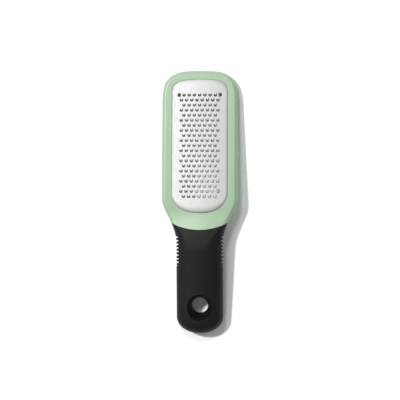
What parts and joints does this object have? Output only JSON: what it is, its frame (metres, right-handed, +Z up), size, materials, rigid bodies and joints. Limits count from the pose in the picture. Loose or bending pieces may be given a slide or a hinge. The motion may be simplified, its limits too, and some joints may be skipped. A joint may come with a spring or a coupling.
{
  "type": "garlic and ginger grater",
  "caption": "Hand grater with an arched, etched steel plate in a rigid oblong head frame, a soft finned grip bent down from the neck and a tapered hanging hole.",
  "frame": {"origin": "middle of the bounding box on the table that the grater lies on", "axes": "+Y from the handle to the head's tip, +Z up out of the grating face, +X to the right seen from above"},
  "size_m": [0.0642, 0.222, 0.0255],
  "materials": {
    "etched_steel": "satin etched sheet",
    "mint_plastic": "semi-gloss moulded",
    "black_grip": "fine matt soft touch",
    "foot_rubber": "matt non-slip"
  },
  "bodies": {
    "root": {"grating_plate": "etched_steel", "head_frame": "mint_plastic", "soft_grip": "black_grip", "tip_foot": "foot_rubber"}
  },
  "joints": []
}
